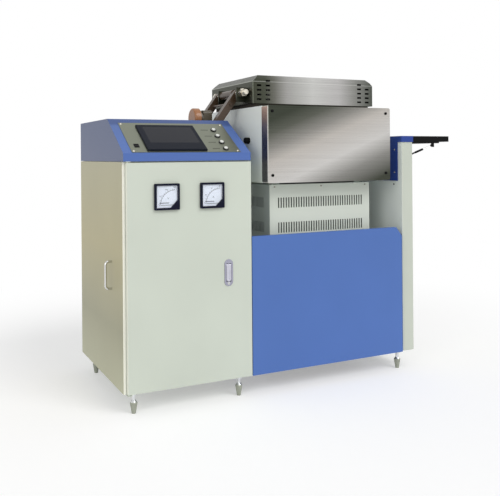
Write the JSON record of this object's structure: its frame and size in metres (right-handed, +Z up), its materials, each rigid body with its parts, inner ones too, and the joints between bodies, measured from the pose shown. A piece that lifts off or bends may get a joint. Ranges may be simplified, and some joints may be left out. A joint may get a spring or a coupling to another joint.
{
  "type": "sample fusion machine",
  "caption": "Floor-standing sample fusion machine: control cabinet with sloping console, furnace on a slotted pedestal, lifting hood on lever arms, fold-down shelf.",
  "frame": {"origin": "on the floor under the middle of the bounding box", "axes": "+X to the right from the control cabinet to the shelf, +Y to the back, +Z up"},
  "size_m": [1.834, 0.81, 1.492],
  "materials": {
    "cabinet_frame": null,
    "cabinet_plates": null,
    "cabinet_back": null,
    "cabinet_right_side": null,
    "front_door": null,
    "hinge_brackets": null,
    "latch_plate": null,
    "latch_paddle": null,
    "meter_cases": null,
    "meter_glasses": null,
    "meter_needle_left": null,
    "meter_needle_right": null,
    "side_door": null,
    "side_handle": null,
    "side_hinge_leaves": null,
    "console_shell": null,
    "console_plate": null,
    "touch_screen_case": null,
    "touch_screen_glass": null,
    "button_bezels": null,
    "rocker_frame": null,
    "rocker": null,
    "mounting_plate": null,
    "control_gear": null,
    "base_frame": null,
    "skirt_panel": null,
    "pedestal_front": null,
    "pedestal_sides": null,
    "transformer": null,
    "furnace_casing": null,
    "furnace_cover": null,
    "cover_bolts": null,
    "insulation_blocks": null,
    "heating_rods": null,
    "thermocouple": null,
    "shaft_bearings": null,
    "cradle": null,
    "crucibles": null,
    "mould_rack": null,
    "moulds": null,
    "cradle_gearmotor": null,
    "hood_shell": null,
    "lid_slab": null,
    "lift_arms": null,
    "lift_cross_members": null,
    "lift_spindle": null,
    "lift_shaft": null,
    "lift_gearbox": null,
    "lift_motor": null,
    "right_column": null,
    "column_cap": null,
    "shelf_board": null,
    "shelf_brackets": null,
    "stay_tubes": null,
    "stay_rods": null,
    "levelling_feet": null,
    "push_button_1": null,
    "push_button_2": null,
    "push_button_3": null,
    "push_button_4": null
  },
  "bodies": {
    "machine": {"cabinet_frame": "cabinet_frame", "cabinet_plates": "cabinet_plates", "cabinet_back": "cabinet_back", "cabinet_right_side": "cabinet_right_side", "hinge_brackets": "hinge_brackets", "console_shell": "console_shell", "console_plate": "console_plate", "touch_screen_case": "touch_screen_case", "touch_screen_glass": "touch_screen_glass", "button_bezels": "button_bezels", "rocker_frame": "rocker_frame", "mounting_plate": "mounting_plate", "control_gear": "control_gear", "base_frame": "base_frame", "skirt_panel": "skirt_panel", "pedestal_front": "pedestal_front", "pedestal_sides": "pedestal_sides", "transformer": "transformer", "furnace_casing": "furnace_casing", "furnace_cover": "furnace_cover", "cover_bolts": "cover_bolts", "insulation_blocks": "insulation_blocks", "heating_rods": "heating_rods", "thermocouple": "thermocouple", "shaft_bearings": "shaft_bearings", "mould_rack": "mould_rack", "moulds": "moulds", "cradle_gearmotor": "cradle_gearmotor", "lift_gearbox": "lift_gearbox", "lift_motor": "lift_motor", "right_column": "right_column", "column_cap": "column_cap", "shelf_brackets": "shelf_brackets", "levelling_feet": "levelling_feet"},
    "front_door": {"front_door": "front_door", "latch_plate": "latch_plate", "meter_cases": "meter_cases", "meter_glasses": "meter_glasses"},
    "latch_paddle": {"latch_paddle": "latch_paddle"},
    "meter_needle_left": {"meter_needle_left": "meter_needle_left"},
    "meter_needle_right": {"meter_needle_right": "meter_needle_right"},
    "side_door": {"side_door": "side_door", "side_handle": "side_handle", "side_hinge_leaves": "side_hinge_leaves"},
    "rocker": {"rocker": "rocker"},
    "hood": {"hood_shell": "hood_shell", "lid_slab": "lid_slab", "lift_arms": "lift_arms", "lift_cross_members": "lift_cross_members", "lift_spindle": "lift_spindle", "lift_shaft": "lift_shaft"},
    "cradle": {"cradle": "cradle", "crucibles": "crucibles"},
    "shelf": {"shelf_board": "shelf_board"},
    "stays": {"stay_tubes": "stay_tubes"},
    "stay_rods": {"stay_rods": "stay_rods"},
    "push_button_1": {"push_button_1": "push_button_1"},
    "push_button_2": {"push_button_2": "push_button_2"},
    "push_button_3": {"push_button_3": "push_button_3"},
    "push_button_4": {"push_button_4": "push_button_4"}
  },
  "joints": [
    {"name": "front_door_swing", "type": "hinge", "parent": "machine", "child": "front_door", "pos_m": [-0.8622, -0.385, 0.575], "axis": [0, 0, -1], "range_deg": [0, 110]},
    {"name": "latch_pull", "type": "hinge", "parent": "front_door", "child": "latch_paddle", "pos_m": [-0.3987, -0.3895, 0.609], "axis": [-1, 0, 0], "range_deg": [0, 35], "stiffness_Nm_per_rad": 0.2, "springref_deg": -11.46},
    {"name": "side_door_swing", "type": "hinge", "parent": "machine", "child": "side_door", "pos_m": [-0.86995, 0.381, 0.575], "axis": [0, 0, -1], "range_deg": [0, 100]},
    {"name": "rocker_tip", "type": "hinge", "parent": "machine", "child": "rocker", "pos_m": [-0.8082, -0.34088, 1.14584], "axis": [-1, 0, 0], "range_deg": [0, 18]},
    {"name": "hood_lift", "type": "hinge", "parent": "machine", "child": "hood", "pos_m": [-0.3412, 0.0045, 1.239], "axis": [0, -1, 0], "range_deg": [0, 70]},
    {"name": "cradle_rock", "type": "hinge", "parent": "machine", "child": "cradle", "pos_m": [0.1563, 0.01, 1.113], "axis": [1, 0, 0], "range_deg": [-45, 110]},
    {"name": "shelf_fold", "type": "hinge", "parent": "machine", "child": "shelf", "pos_m": [0.6738, 0.01, 1.148], "axis": [0, 1, 0], "range_deg": [0, 90]},
    {"name": "stay_turn", "type": "hinge", "parent": "machine", "child": "stays", "pos_m": [0.6698, 0.01, 1.101], "axis": [0, 1, 0], "range_deg": [0, 106.2]},
    {"name": "stay_slide", "type": "slide", "parent": "stays", "child": "stay_rods", "axis": [0.9473, 0, 0.3203], "range_m": [-0.05874, 0]},
    {"name": "meter_needle_left_turn", "type": "hinge", "parent": "front_door", "child": "meter_needle_left", "pos_m": [-0.6552, -0.396, 0.89], "axis": [0, 1, 0], "range_deg": [0, 90], "stiffness_Nm_per_rad": 0.0005, "springref_deg": -17.19},
    {"name": "meter_needle_right_turn", "type": "hinge", "parent": "front_door", "child": "meter_needle_right", "pos_m": [-0.4422, -0.396, 0.89], "axis": [0, 1, 0], "range_deg": [0, 90], "stiffness_Nm_per_rad": 0.0005, "springref_deg": -17.19},
    {"name": "push_button_1_press", "type": "slide", "parent": "machine", "child": "push_button_1", "axis": [0, 0.5318, -0.8469], "range_m": [0, 0.003], "stiffness_N_per_m": 400, "springref_m": -0.001},
    {"name": "push_button_2_press", "type": "slide", "parent": "machine", "child": "push_button_2", "axis": [0, 0.5318, -0.8469], "range_m": [0, 0.003], "stiffness_N_per_m": 400, "springref_m": -0.001},
    {"name": "push_button_3_press", "type": "slide", "parent": "machine", "child": "push_button_3", "axis": [0, 0.5318, -0.8469], "range_m": [0, 0.003], "stiffness_N_per_m": 400, "springref_m": -0.001},
    {"name": "push_button_4_press", "type": "slide", "parent": "machine", "child": "push_button_4", "axis": [0, 0.5318, -0.8469], "range_m": [0, 0.003], "stiffness_N_per_m": 400, "springref_m": -0.001}
  ],
  "couplings": [
    {"joint": "stay_turn", "follows": "shelf_fold", "ratio": 1.1787},
    {"joint": "stay_slide", "follows": "shelf_fold", "m_per_rad": -0.037332}
  ]
}
